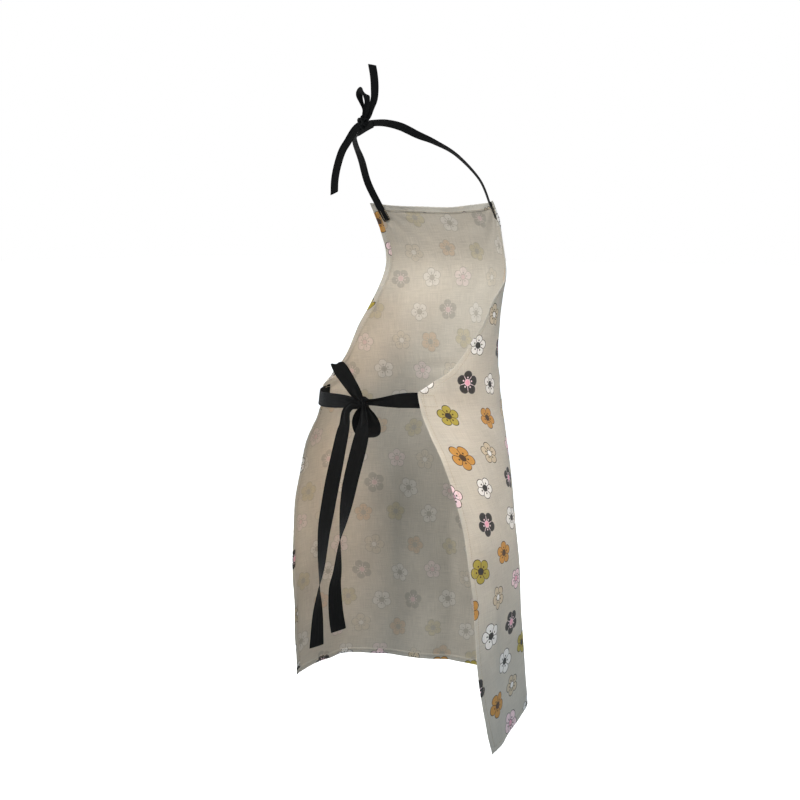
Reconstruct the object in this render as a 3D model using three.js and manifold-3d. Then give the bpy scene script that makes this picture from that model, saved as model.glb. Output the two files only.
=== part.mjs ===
// Kitchen apron, worn and tied at the back: one shaped cloth, two neck tapes tied in a half bow
// at the nape and two waist tapes tied in a bow at the small of the back.
// Millimetres, +Z up, front of the apron toward -Y, wearer's left toward +X.
// The origin is the centre of the neck loop, level with the nape.
import * as THREE from 'three';
import { mergeVertices } from 'three/addons/utils/BufferGeometryUtils.js';
import Module from 'manifold-3d';

const wasm = await Module();
wasm.setup();

const CLOTH = 1.2;         // wall of the single cloth
const HEM_WALL = 2.0;      // wall where the edge is turned in and stitched
const HEM_BAND = 8;        // width of the turned edge
const HEM_SLOPE = 2;       // run-out from the turned edge to the single cloth
const TAPE_WALL = 1.2;     // wall of both tapes
const WAIST_TAPE = 20;     // width of the waist tape
const NECK_TAPE = 10;      // width of the neck tape
const SEAT_GAP = 0.3;      // clearance of a tape at the knot that holds it
const TAPE_INSET = 3.3;    // tape centre behind the outer face of the cloth where it is sewn on
const BIB_TOP = -112;      // height of the top edge at the middle
const TIE_TOP = -364;      // row of the corner between armhole and side edge
const TIE_FOOT = -386;     // row of the lower end of the tape stitching
const HEM = -816;          // height of the hem at the middle
const CORNER_DROP = 24;    // how much lower the hem corners hang than the middle
const HEM_SAG = 15;        // how much the hem sags at the left of the front
const SAG_AT = 0.45;       // place of the sag, as a share of the half width
const HEM_RISE = 19;       // how much the hem rises at the right of the front
const RISE_AT = -0.52;     // place of the rise, as a share of the half width
const SAG_SPREAD = 0.28;   // spread of the sag and of the rise, as a share of the half width
const DROP_FROM = -420;    // row where the corner drop, the sag and the rise start
const DROP_TO = -800;      // row where they are full
const BIB_LIFT = 6;        // how much the neck tapes pull up the bib corners
const LIFT_FROM = -180;    // row where the pull of the neck tapes starts
const INNER_COLUMNS = 30;  // steps across the cloth between the turned edges
const ROW_STEP = 20;       // height of a step along the cloth
const PROBE = 3;           // step for reading a direction off the cloth
const REACH = 8;           // step for reading the slope of the waist
const LUMP_POWER = 0.8;    // roundness of a knot, 1 for an ellipsoid
const NIL = 1e-6;          // a coordinate smaller than this is 0
const WELD = 1e-4;         // points nearer than this are one

const OATMEAL = 0xcdc3ae;
const BLACK = 0x141416;
const cloth_mat = new THREE.MeshStandardMaterial({ name: 'natural_cloth', color: OATMEAL, roughness: 0.9 });
const tape_mat = new THREE.MeshStandardMaterial({ name: 'black_tape', color: BLACK, roughness: 0.85 });

// Plan of the hanging cloth at each height: superellipse about (0, cy).
const SECTIONS = [
  // z,  cy, half_width, front, back, front_power, back_power
  [ -95,  0, 128,  80,  90, 2.3, 2.0],
  [-145,  0, 139, 109,  95, 2.3, 2.0],
  [-200,  0, 142, 130, 100, 2.3, 2.0],
  [-260,  0, 134, 118, 100, 2.4, 2.0],
  [-325,  0, 131, 115, 100, 2.6, 2.0],
  [-385,  0, 136, 118, 103, 2.6, 2.0],
  [-460,  6, 157, 122, 125, 2.4, 2.1],
  [-560, 18, 175, 139, 148, 2.3, 2.3],
  [-700, 20, 183, 147, 160, 2.5, 2.6],
  [-860, 20, 188, 151, 165, 2.9, 3.0],
];

// Cut of the cloth by row: half width, and how far its middle sits toward the wearer's left,
// and how much lower its left edge hangs than its middle.
const CUT = [
  // row, half_width, shift, tilt
  [-112, 118, -12,  0],
  [-160, 121, -18,  2],
  [-200, 130, -22,  3],
  [-240, 147, -27,  4],
  [-285, 180, -32,  5],
  [-335, 219, -38,  7],
  [-350, 241, -40,  8],
  [-364, 264, -41,  8],
  [-386, 267, -40,  8],
  [-410, 270, -37,  8],
  [-455, 282, -28,  7],
  [-485, 286, -26,  7],
  [-540, 295, -26,  6],
  [-600, 302, -24,  3],
  [-620, 303, -23,  3],
  [-700, 308, -27,  0],
  [-780, 305, -23, -2],
  [-816, 300, -18, -4],
];

// Soft hanging folds of the skirt: place across the cloth, height of the ridge, spread
// and row of the start.
const FOLDS = [
  // across, ridge, spread, start
  [-215,  4, 30, -440],
  [-120, -5, 34, -470],
  [ -30,  5, 40, -500],
  [  70, -6, 36, -460],
  [ 160,  2, 34, -450],
  [ 245, -4, 26, -500],
];

// Monotone cubic through the rows of a table, first column falling.
function read(table, at) {
  const n = table.length;
  const x = (i) => -table[i][0];
  const slope = (i, k) => (table[i + 1][k] - table[i][k]) / (x(i + 1) - x(i));
  const tangent = (i, k) => {
    if (i === 0) return slope(0, k);
    if (i === n - 1) return slope(n - 2, k);
    const a = slope(i - 1, k), b = slope(i, k);
    return a * b <= 0 ? 0 : 2 * a * b / (a + b);
  };
  const p = Math.min(Math.max(-at, x(0)), x(n - 1));
  let i = 0;
  while (i < n - 2 && p > x(i + 1)) i += 1;
  const h = x(i + 1) - x(i), t = (p - x(i)) / h;
  const row = [];
  for (let k = 1; k < table[0].length; k += 1) {
    row.push((2 * t ** 3 - 3 * t ** 2 + 1) * table[i][k] + (t ** 3 - 2 * t ** 2 + t) * h * tangent(i, k)
      + (3 * t ** 2 - 2 * t ** 3) * table[i + 1][k] + (t ** 3 - t ** 2) * h * tangent(i + 1, k));
  }
  return row;
}

const ease = (a, b, v) => {
  const t = Math.min(Math.max((v - a) / (b - a), 0), 1);
  return t * t * (3 - 2 * t);
};
const rad = THREE.MathUtils.degToRad;
const deg = THREE.MathUtils.radToDeg;
const signed = (v, p) => Math.sign(v) * Math.abs(v) ** p;

// Point of the plan at an angle from centre front, + toward the wearer's left.
function planPoint(section, angle) {
  const [cy, half, front, back, frontPower, backPower] = section;
  const s = Math.sin(angle), c = Math.cos(angle);
  const n = c > 0 ? frontPower : backPower;
  const b = c > 0 ? front : back;
  return [half * signed(s, 2 / n), cy - b * signed(c, 2 / n)];
}

// Point of the plan at a length along it from centre front.
function planAlong(section, length) {
  const step = rad(0.5) * Math.sign(length || 1);
  let angle = 0, done = 0, p = planPoint(section, 0);
  while (Math.abs(angle) < Math.PI) {
    const q = planPoint(section, angle + step);
    const d = Math.hypot(q[0] - p[0], q[1] - p[1]);
    if (done + d >= Math.abs(length)) {
      const f = (Math.abs(length) - done) / d;
      return [p[0] + (q[0] - p[0]) * f, p[1] + (q[1] - p[1]) * f];
    }
    done += d; angle += step; p = q;
  }
  return p;
}

// Smooth drape: `across` in mm from the middle of the cloth, `row` its level.
function smoothDrape(across, row) {
  const [half, shift, tilt] = read(CUT, row);
  const s = across / half;
  const near = (at) => Math.exp(-(((s - at) / SAG_SPREAD) ** 2));
  const sag = HEM_SAG * near(SAG_AT) - HEM_RISE * near(RISE_AT);
  const drop = (CORNER_DROP * s ** 4 + sag) * ease(DROP_FROM, DROP_TO, row);
  const z = row - tilt * s - drop + BIB_LIFT * s * s * ease(LIFT_FROM, BIB_TOP, row);
  const [x, y] = planAlong(read(SECTIONS, z), shift + across);
  return new THREE.Vector3(x, y, z);
}

function outward(drape, across, row) {
  const a = drape(across + PROBE, row).sub(drape(across - PROBE, row));
  const b = drape(across, row + PROBE).sub(drape(across, row - PROBE));
  return a.cross(b).normalize();
}

// Outer face of the cloth with its hanging folds.
function drape(across, row) {
  const p = smoothDrape(across, row);
  let ridge = 0;
  for (const [at, height, spread, start] of FOLDS) {
    ridge += height * Math.exp(-(((across - at) / spread) ** 2)) * ease(start, HEM, row);
  }
  return ridge === 0 ? p : p.addScaledVector(outward(smoothDrape, across, row), ridge);
}

function piece(name, geometry, material) {
  geometry.computeVertexNormals();
  const mesh = new THREE.Mesh(geometry, material);
  mesh.name = name;
  return mesh;
}

// Closed sheet: a thin box, stepped across and along, laid where place(i, j, outer) says.
function sheet(name, across, along, place, material) {
  const geometry = new THREE.BoxGeometry(1, 1, 1, across, along, 1);
  const p = geometry.getAttribute('position');
  for (let v = 0; v < p.count; v += 1) {
    const i = Math.round((p.getX(v) + 0.5) * across);
    const j = Math.round((p.getY(v) + 0.5) * along);
    const q = place(i, j, p.getZ(v) > 0);
    p.setXYZ(v, q.x, q.y, q.z);
  }
  return piece(name, geometry, material);
}

// Rows from one level up to another, both included, about a step apart.
function rowsBetween(low, high) {
  const steps = Math.round((high - low) / ROW_STEP);
  return Array.from({ length: steps + 1 }, (_, k) => low + (high - low) * k / steps);
}

// The shaped cloth: bib and skirt in one, turned edges all round.
function apronBody() {
  const turn = HEM_BAND + HEM_SLOPE;
  const rows = [
    HEM, HEM + HEM_BAND, ...rowsBetween(HEM + turn, TIE_FOOT), (TIE_TOP + TIE_FOOT) / 2,
    ...rowsBetween(TIE_TOP, BIB_TOP - turn), BIB_TOP - HEM_BAND, BIB_TOP,
  ];
  const columns = INNER_COLUMNS + 4;
  const grid = rows.map((row, j) => {
    const half = read(CUT, row)[0];
    const inner = half - turn;
    const across = [-half, -half + HEM_BAND];
    for (let k = 0; k <= INNER_COLUMNS; k += 1) {
      across.push(-inner + 2 * inner * k / INNER_COLUMNS);
    }
    across.push(half - HEM_BAND, half);
    return across.map((u, i) => {
      const turned = j < 2 || j > rows.length - 3 || i < 2 || i > columns - 2;
      const outer = drape(u, row);
      const wall = turned ? HEM_WALL : CLOTH;
      return [outer, outer.clone().addScaledVector(outward(drape, u, row), -wall)];
    });
  });
  const place = (i, j, outer) => grid[j][i][outer ? 0 : 1];
  return sheet('apron_body', columns, rows.length - 1, place, cloth_mat);
}

// Tape along a smooth path. Columns: x, y, z, turn and lift of its width in degrees, width.
function tape(name, table, steps, wall = TAPE_WALL) {
  const smooth = (points) => new THREE.CatmullRomCurve3(points, false, 'catmullrom', 0.5);
  const path = smooth(table.map(([x, y, z]) => new THREE.Vector3(x, y, z)));
  const lay = smooth(table.map(([, , , turn, lift, width]) => new THREE.Vector3(turn, lift, width)));
  const place = (i, j, outer) => {
    const t = j / steps;
    const tangent = path.getTangent(t);
    const { x: turn, y: lift, z: width } = lay.getPoint(t);
    const [a, b] = [rad(turn), rad(lift)];
    const w = new THREE.Vector3(Math.cos(a) * Math.cos(b), Math.sin(a) * Math.cos(b), Math.sin(b));
    w.addScaledVector(tangent, -w.dot(tangent)).normalize();
    const n = new THREE.Vector3().crossVectors(w, tangent).multiplyScalar(outer ? wall / 2 : -wall / 2);
    return path.getPoint(t).addScaledVector(w, (i - 0.5) * width).add(n);
  };
  return sheet(name, 1, steps, place, tape_mat);
}

// Path row on the waist at an angle from centre front, the tape lying along the slope of the cloth.
function onWaist(angle, z, inset, width) {
  const at = (degrees, level) => planPoint(read(SECTIONS, level), rad(degrees));
  const [x, y] = at(angle, z);
  const [xa, ya] = at(angle - 1, z);
  const [xb, yb] = at(angle + 1, z);
  const d = Math.hypot(xb - xa, yb - ya);
  const out = [(yb - ya) / d, (xa - xb) / d];
  const [xl, yl] = at(angle, z - REACH);
  const [xh, yh] = at(angle, z + REACH);
  const turn = Math.atan2(out[1], out[0]);
  const slope = Math.atan2((xl - xh) * out[0] + (yl - yh) * out[1], 2 * REACH);
  return [x - inset * out[0], y - inset * out[1], z, deg(turn), 90 + deg(slope), width];
}

// Rounded lump of tied tape about the origin.
function lump(half) {
  const round = (c) => (Math.abs(c) < NIL ? 0 : signed(c, LUMP_POWER));
  const geometry = new THREE.SphereGeometry(1, 16, 10);
  const p = geometry.getAttribute('position');
  for (let v = 0; v < p.count; v += 1) {
    const [x, y, z] = [p.getX(v), p.getZ(v), p.getY(v)].map(round);
    p.setXYZ(v, -x * half[0], y * half[1], z * half[2]);
  }
  return geometry;
}

function closed(geometry) {
  const bare = geometry.clone();
  bare.deleteAttribute('normal');
  bare.deleteAttribute('uv');
  const merged = mergeVertices(bare, WELD);
  const vertProperties = merged.getAttribute('position').array;
  const triVerts = new Uint32Array(merged.index.array);
  return new wasm.Manifold(new wasm.Mesh({ numProp: 3, vertProperties, triVerts }));
}

// A knot and the tapes that run into it, each tape cut back to its seat.
function tied(name, centre, half, tapes) {
  const mesh = piece(name, lump(half).translate(...centre), tape_mat);
  const seat = closed(lump(half.map((h) => h + SEAT_GAP)).translate(...centre));
  return [mesh, ...tapes.map((t) => {
    const cut = closed(t.geometry).subtract(seat).getMesh();
    const geometry = new THREE.BufferGeometry();
    geometry.setAttribute('position', new THREE.Float32BufferAttribute(cut.vertProperties, cut.numProp));
    geometry.setIndex([...cut.triVerts]);
    return piece(t.name, geometry, tape_mat);
  })];
}

const WAIST_RIGHT = [
  onWaist(-133, -367, TAPE_INSET, WAIST_TAPE),
  onWaist(-140, -367, TAPE_INSET, WAIST_TAPE),
  onWaist(-147, -367, 2.6, WAIST_TAPE),
  onWaist(-155, -368, 0.5, 18),
  onWaist(-163, -370, -1.5, 13),
  onWaist(-169, -371, -4, 9),
  [-14, 109, -371.5, 90, 90, 8],
];
const WAIST_LEFT = [
  onWaist(91, -383, TAPE_INSET, WAIST_TAPE),
  onWaist(98, -383, TAPE_INSET, WAIST_TAPE),
  onWaist(106, -383, 4.2, WAIST_TAPE),
  onWaist(118, -382, 6, WAIST_TAPE),
  onWaist(132, -381, 4.5, WAIST_TAPE),
  onWaist(147, -379, 2, WAIST_TAPE),
  onWaist(162, -376, 0, 19),
  onWaist(173, -374, -2, 16),
  onWaist(180, -372.5, -4, 11),
  [-14, 109, -371.5, 90, 90, 8],
];
const LOOP_UPPER = [
  // x, y, z, turn, lift, width
  [  -14, 109, -371,  205,  33, 6],
  [   -5, 112, -363,  208,  33, 12],
  [    8, 112, -346,  210,  33, 17],
  [   20, 113, -331,  210,  24, 18],
  [   27, 115, -322,  212,   4, 18],
  [ 17.5, 118, -331,  210,  24, 18],
  [    5, 118, -344,  208,  33, 18],
  [   -6, 117, -358,  208,  33, 15],
  [  -12, 114, -367,  205,  33, 9],
  [  -13, 110, -368,  205,  33, 5],
];
const LOOP_LOWER = [
  // x, y, z, turn, lift, width
  [  -14, 107, -372,   70,   0, 5],
  [-18.5, 108, -380,   68,  -8, 7.5],
  [-28.5, 113, -387,   46, -14, 14.5],
  [-34.5, 115, -397,   42,  -8, 18],
  [-33.5, 116, -407,   48,   0, 18],
  [  -22, 114, -414,   62,   0, 17],
  [   -8, 110, -410,   60,   5, 15],
  [   -1, 107, -399,   50,   5, 14],
  [   -3, 106, -388,   55,   5, 11],
  [ -9.5, 106, -379,   70,   5, 7],
  [  -13, 107, -373,   75,  10, 5],
];
const TAIL_LEFT = [
  // x, y, z, turn, lift, width
  [  -12, 111, -375,  -10,  60, 5],
  [   -7, 114, -377,  -10,  58, 7],
  [    1, 117, -377,  -10,  45, 11],
  [    8, 118, -383,  -10,  20, 14],
  [    9, 120, -390,   -5,   6, 15],
  [    9, 122, -402,    0,   0, 17],
  [   10, 127, -418,    8,   0, 19],
  [   14, 142, -475,   20,   0, WAIST_TAPE],
  [   15, 152, -511,   15,   0, WAIST_TAPE],
  [   16, 160, -545,    0,   0, WAIST_TAPE],
  [   17, 165, -592,  -30,   0, WAIST_TAPE],
  [   20, 167, -622,  -60,   0, WAIST_TAPE],
  [   22, 167, -652,  -90,   0, WAIST_TAPE],
  [   25, 167, -702, -120,   0, WAIST_TAPE],
];
const TAIL_RIGHT = [
  // x, y, z, turn, lift, width
  [  -15, 112, -373,  -15,   0, 6],
  [  -18, 116, -381,  -15,   0, 9],
  [  -24, 124, -390,   -5,   0, 13],
  [  -27, 130, -405,   12,   0, 18],
  [  -24, 134, -427,   25,   0, WAIST_TAPE],
  [  -17, 142, -468,   22,   0, WAIST_TAPE],
  [  -15, 150, -500,    2,   0, WAIST_TAPE],
  [  -14, 156, -524,  -25,   0, WAIST_TAPE],
  [  -12, 161, -550,  -55,   0, WAIST_TAPE],
  [  -11, 165, -588,  -86,   0, WAIST_TAPE],
  [   -8, 167, -612, -103,   0, WAIST_TAPE],
  [   -9, 167, -645, -122,   0, WAIST_TAPE],
  [  -13, 167, -671, -140,   0, WAIST_TAPE],
];

// Row of a neck tape on the inside of the bib, near its top corner.
function onBib(across, row, lift) {
  const p = drape(across, row).addScaledVector(outward(drape, across, row), -TAPE_INSET);
  const q = drape(across + PROBE, row).sub(drape(across - PROBE, row));
  return [p.x, p.y, p.z, deg(Math.atan2(q.y, q.x)), lift, NECK_TAPE];
}
const NECK_RIGHT = [
  onBib(-104, BIB_TOP - 22, 0),
  onBib(-105, BIB_TOP - 10, 0),
  onBib(-106, BIB_TOP + 2, 0),
  [ -95, -47, -78, -42,   0, NECK_TAPE],
  [ -79, -14, -47, -35,  -8, NECK_TAPE],
  [ -62,  14, -31, -38, -30, NECK_TAPE],
  [ -47,  32, -22, -45, -60, NECK_TAPE],
  [ -31,  47, -12, -50, -80, NECK_TAPE],
  [ -14,  56,  -7, -60, -85, 9],
  [   2,  60,  -5, -70, -85, 6],
  [  18,  60,  -5, -80, -85, 5],
];
const NECK_LEFT = [
  onBib(104, BIB_TOP - 22, 0),
  onBib(105, BIB_TOP - 10, 0),
  onBib(106, BIB_TOP + 2, 0),
  [  94, -47, -78,  42,   0, NECK_TAPE],
  [  81, -14, -47,  35,   8, NECK_TAPE],
  [  68,  16, -29,  38,  30, NECK_TAPE],
  [  56,  34, -19,  45,  60, NECK_TAPE],
  [  43,  48, -11,  50,  75, 9],
  [  33,  55,  -7,  60,  85, 6],
  [  25,  59,  -6,  70,  85, 5],
];
const NECK_LOOP = [
  // x, y, z, turn, lift, width
  [   23,  58,   -2,   50,   0, 4],
  [   23,  57,   12,   70,   0, 5],
  [   27,  57,   22,   72,   2, 7],
  [ 29.5,  58,   31,   45,   8, 8],
  [   26,  60,   37,   35,  30, 9.5],
  [   19,  62,   35,   35,  50, NECK_TAPE],
  [ 13.5,  64,   29,   38,  30, 9],
  [ 11.5,  65,   21,   55,   8, 7.5],
  [   13,  65,   13,   45,   2, 7.5],
  [   16,  64,    7,   40,   0, 7],
  [   21,  61,   -2,   40,   0, 5],
];
const NECK_UP = [
  // x, y, z, turn, lift, width
  [   18,  59,   -1,   35,  10, 5],
  [ 12.5,  56,    4,   35,  10, 7],
  [   10,  57,   13,   35,  12, 8],
  [    6,  57,   25,   35,   4, 9],
  [    5,  57,   39,   35,   0, NECK_TAPE],
  [    6,  57,   54,   35, -10, NECK_TAPE],
  [    9,  57,   69,   35,  -6, NECK_TAPE],
];
const NECK_DOWN = [
  // x, y, z, turn, lift, width
  [   25,  61,   -6,   25,  60, 6],
  [   29,  62,   -9,   25,  54, 9],
  [   36,  63,  -16,   25,  42, NECK_TAPE],
  [   43,  66,  -28,   25,  32, NECK_TAPE],
  [   50,  70,  -41,   25,  20, NECK_TAPE],
  [   55,  74,  -60,   25,  10, NECK_TAPE],
  [   55,  80,  -79,   25,   2, NECK_TAPE],
  [   53,  84,  -97,   25,  -6, NECK_TAPE],
];

const part = new THREE.Group();
part.name = 'kitchen_apron';
part.add(
  apronBody(),
  ...tied('neck_knot', [22, 60, -4], [7, 6, 7.5], [
    tape('neck_tape_right', NECK_RIGHT, 36),
    tape('neck_tape_left', NECK_LEFT, 34),
    tape('neck_bow_loop', NECK_LOOP, 34),
    tape('neck_tail_up', NECK_UP, 18),
    tape('neck_tail_down', NECK_DOWN, 22),
  ]),
  ...tied('waist_knot', [-14, 109, -371.5], [5.5, 6, 6], [
    tape('waist_tape_right', WAIST_RIGHT, 24),
    tape('waist_tape_left', WAIST_LEFT, 32),
    tape('waist_bow_loop_upper', LOOP_UPPER, 34),
    tape('waist_bow_loop_lower', LOOP_LOWER, 38),
    tape('waist_tail_left', TAIL_LEFT, 50),
    tape('waist_tail_right', TAIL_RIGHT, 48),
  ]),
);
export default part;
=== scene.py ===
import math

import bpy
import numpy as np
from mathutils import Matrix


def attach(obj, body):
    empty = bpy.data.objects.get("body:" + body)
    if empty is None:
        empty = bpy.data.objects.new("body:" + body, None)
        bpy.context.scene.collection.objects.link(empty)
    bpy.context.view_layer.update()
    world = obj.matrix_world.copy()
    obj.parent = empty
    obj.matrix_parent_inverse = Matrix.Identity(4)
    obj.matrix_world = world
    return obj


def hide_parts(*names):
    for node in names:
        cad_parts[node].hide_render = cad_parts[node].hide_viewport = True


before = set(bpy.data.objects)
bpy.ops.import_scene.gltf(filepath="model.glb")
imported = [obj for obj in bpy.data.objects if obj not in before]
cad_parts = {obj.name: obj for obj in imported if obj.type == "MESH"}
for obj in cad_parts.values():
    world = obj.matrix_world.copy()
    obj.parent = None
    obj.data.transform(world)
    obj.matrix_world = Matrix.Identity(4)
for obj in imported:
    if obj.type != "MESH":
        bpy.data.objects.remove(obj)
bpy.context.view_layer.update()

# The view: from behind and from the wearer's right, a little above the middle of the apron.
# A mild telephoto on a square frame, 1.5 m away, so that the hanging edges stay nearly upright.
VIEW_TURN = math.radians(215)
VIEW_RISE = math.radians(9)
VIEW_REACH = 1.5
VIEW_AIM = (0.0028, 0.0020, -0.3838)
FRAME_PIXELS = 800
FOCAL_PIXELS = 1056
SENSOR = 36

lens = bpy.data.cameras.new("view")
lens.sensor_width = SENSOR
lens.lens = SENSOR * FOCAL_PIXELS / FRAME_PIXELS
camera = bpy.data.objects.new("view", lens)
camera.location = (
    VIEW_AIM[0] + VIEW_REACH * math.sin(VIEW_TURN) * math.cos(VIEW_RISE),
    VIEW_AIM[1] - VIEW_REACH * math.cos(VIEW_TURN) * math.cos(VIEW_RISE),
    VIEW_AIM[2] + VIEW_REACH * math.sin(VIEW_RISE),
)
camera.rotation_euler = (math.pi / 2 - VIEW_RISE, 0, VIEW_TURN)
bpy.context.collection.objects.link(camera)
bpy.context.scene.camera = camera

# The shaped cloth: bib and skirt cut in one from a plain-woven natural linen and cotton cloth, printed on
# the outside. Its edges are turned in twice and stitched down, and it hangs in the shape it has when worn.
# Lengths are in millimetres and angles in degrees until a mesh is laid in metres.
MM = 0.001
CLOTH_WALL = 0.8
HEM_WALL = 1.3
HEM_BAND = 8.0
TURNED_EDGE = HEM_BAND + 0.2
STITCH_INSET = 6.4
BIB_TOP = -112
HEM = -816
CORNER_DROP = 24
HEM_SAG = 15
SAG_AT = 0.45
SAG_SPREAD = 0.28
HEM_RISE = 19
RISE_AT = -0.52
DROP_FROM = -420
DROP_TO = -800
BIB_LIFT = 6
LIFT_FROM = -180
SLANT_REACH = 4.0
RIM_BULGE = 0.5
INNER_COLUMNS = 160
INNER_ROWS = 200
EDGE_STEPS = np.array([0, 0.6, 2.2, 4.2, 5.5, STITCH_INSET, 7.3, HEM_BAND, 8.5, 10.5])

WORN_PLAN = np.array([
    # level, middle, half width, front, back, front squareness, back squareness
    (-95, 0, 128, 80, 90, 2.3, 2.0),
    (-145, 0, 139, 109, 95, 2.3, 2.0),
    (-200, 0, 142, 130, 100, 2.3, 2.0),
    (-260, 0, 134, 118, 100, 2.4, 2.0),
    (-325, 0, 131, 115, 100, 2.6, 2.0),
    (-385, 0, 136, 118, 103, 2.6, 2.0),
    (-460, 6, 157, 122, 125, 2.4, 2.1),
    (-560, 18, 175, 139, 148, 2.3, 2.3),
    (-700, 20, 183, 147, 160, 2.5, 2.6),
    (-860, 20, 188, 151, 165, 2.9, 3.0),
])
CUT = np.array([
    # row, half width, shift to the wearer's left, drop of the left edge
    (-112, 118, -12, 0),
    (-160, 121, -18, 2),
    (-200, 130, -22, 3),
    (-240, 147, -27, 4),
    (-285, 180, -32, 5),
    (-335, 219, -38, 7),
    (-350, 241, -40, 8),
    (-362, 260.5, -41, 8),
    (-364, 264, -41, 8),
    (-386, 267, -40, 8),
    (-410, 270, -37, 8),
    (-455, 282, -28, 7),
    (-485, 286, -26, 7),
    (-540, 295, -26, 6),
    (-600, 302, -24, 3),
    (-620, 303, -23, 3),
    (-700, 308, -27, 0),
    (-780, 305, -23, -2),
    (-816, 300, -18, -4),
])
FOLDS = [
    # across, ridge, spread, row of the start
    (-215, 4, 30, -440),
    (-120, -5, 34, -470),
    (-30, 5, 40, -500),
    (70, -6, 36, -460),
    (160, 2, 34, -450),
    (245, -4, 26, -500),
]
CREASES = [
    # across and row of one end, across and row of the other, ridge, spread
    (-258, -370, -165, -350, 0.7, 9),
    (-256, -380, -150, -394, -0.8, 12),
    (-250, -388, -172, -436, 0.9, 12),
    (-240, -398, -196, -480, 0.8, 12),
    (-246, -360, -196, -318, 0.6, 9),
    (258, -372, 160, -356, 0.9, 9),
    (254, -382, 150, -400, -0.9, 12),
    (250, -390, 176, -440, 1.0, 12),
    (240, -400, 198, -486, 0.9, 12),
    (246, -360, 200, -320, 0.7, 9),
    (-95, -384, 45, -402, 1.7, 10),
    (-25, -417, 100, -404, -1.5, 11),
    (-112, -350, -18, -361, 1.3, 9),
    (18, -343, 112, -355, 1.3, 9),
    (-98, -232, -128, -322, 1.8, 11),
    (96, -235, 126, -318, 1.7, 11),
    (-42, -222, -28, -312, -1.5, 14),
    (42, -228, 34, -316, 1.2, 12),
    (-104, -126, -56, -168, 1.3, 8),
    (104, -126, 58, -168, 1.3, 8),
    (-74, -121, 62, -136, -1.0, 12),
    (-284, -520, -266, -720, 1.3, 12),
    (284, -530, 270, -730, 1.4, 12),
    (10, -560, -4, -760, -1.4, 15),
    (120, -560, 128, -740, 1.2, 14),
]
PULLS = [
    # across and row of the sewn point, ridge, ridges in a full turn, reach, start of the wave
    (-266, -375, 0.7, 15, 80, 0.4),
    (266, -375, 0.9, 15, 80, 1.1),
    (-108, -112, 0.9, 15, 60, 0.8),
    (108, -112, 0.9, 15, 60, 2.0),
]
SMALL_FOLDS = [
    # across, ridge, spread, row of the start, lean
    (-262, 2.6, 13, -430, 0.05),
    (-178, 3.0, 15, -420, 0.06),
    (-78, -2.6, 16, -410, 0.03),
    (16, 2.8, 15, -425, -0.02),
    (112, 2.8, 15, -415, -0.04),
    (206, -3.0, 14, -425, -0.06),
    (278, 2.4, 12, -440, -0.05),
]
RUMPLES = [
    # height, wave across, wave along, start of the wave
    (0.40, 210, 330, 0.3),
    (0.32, -150, 240, 1.9),
    (0.24, 96, 170, 4.1),
    (0.17, -61, 118, 2.6),
    (0.10, 37, -83, 5.0),
]
SMALL_FOLD_RUN = 190
PULL_RISE = (6, 40)
CREASE_START = (-0.12, 0.2)
CREASE_END = (1.15, 0.55)
WAIST_ROW = -378
WAIST_SPREAD = 34
WAIST_RIDGE = 0.55
WAIST_WAVE = 25
WAIST_TILT = 0.03
WAIST_SWELL = 41
WAIST_SWELL_START = 0.8
WAIST_LEAST = 0.6
EDGE_RIDGE = 0.8
EDGE_WAVE = 92
EDGE_REACH = 22
ARMHOLE_ROLL = 4.0
ARMHOLE_REACH = 26
ARMHOLE_FOOT = (-347, -318)
ARMHOLE_TOP = (-215, -250)
PUCKER_RIDGE = 0.16
PUCKER_WAVE = 9.5
PUCKER_REACH = (13, 5)
GROOVE_DEPTH = 0.42
GROOVE_SPREAD = 0.9


def read(table, level):
    """The other columns of a table at a level, by a monotone cubic through its rows."""
    x, y = -table[:, 0], table[:, 1:]
    step = np.diff(x)[:, None]
    slope = np.diff(y, axis=0) / step
    before, after = slope[:-1], slope[1:]
    same = before * after > 0
    inner = np.where(same, 2 * before * after / np.where(same, before + after, 1), 0)
    tangent = np.vstack([slope[:1], inner, slope[-1:]])
    p = np.clip(-np.asarray(level, float), x[0], x[-1])
    i = np.clip(np.searchsorted(x, p) - 1, 0, len(x) - 2)
    h = step[i]
    t = ((p - x[i])[..., None]) / h
    value = (2 * t**3 - 3 * t**2 + 1) * y[i] + (t**3 - 2 * t**2 + t) * h * tangent[i]
    value = value + (3 * t**2 - 2 * t**3) * y[i + 1] + (t**3 - t**2) * h * tangent[i + 1]
    return np.moveaxis(value, -1, 0)


def ease(start, end, value):
    """0 up to the start and 1 from the end on, with a smooth rise between them."""
    t = np.clip((value - start) / (end - start), 0, 1)
    return t * t * (3 - 2 * t)


def bell(value, spread):
    """1 in the middle, with a smooth fall to 0 on both sides."""
    return np.exp(-((value / spread) ** 2))


def ripple(place, length, start=0.0):
    """An even wave of a given length."""
    return np.sin(2 * math.pi * place / length + start)


def plan_point(section, angle):
    """Point of a level's plan at an angle from centre front, + toward the wearer's left."""
    middle, half, front, back, front_square, back_square = section
    sine, cosine = np.sin(angle), np.cos(angle)
    power = 2 / np.where(cosine > 0, front_square, back_square)
    depth = np.where(cosine > 0, front, back)
    x = half * np.sign(sine) * np.abs(sine) ** power
    return x, middle - depth * np.sign(cosine) * np.abs(cosine) ** power


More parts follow.
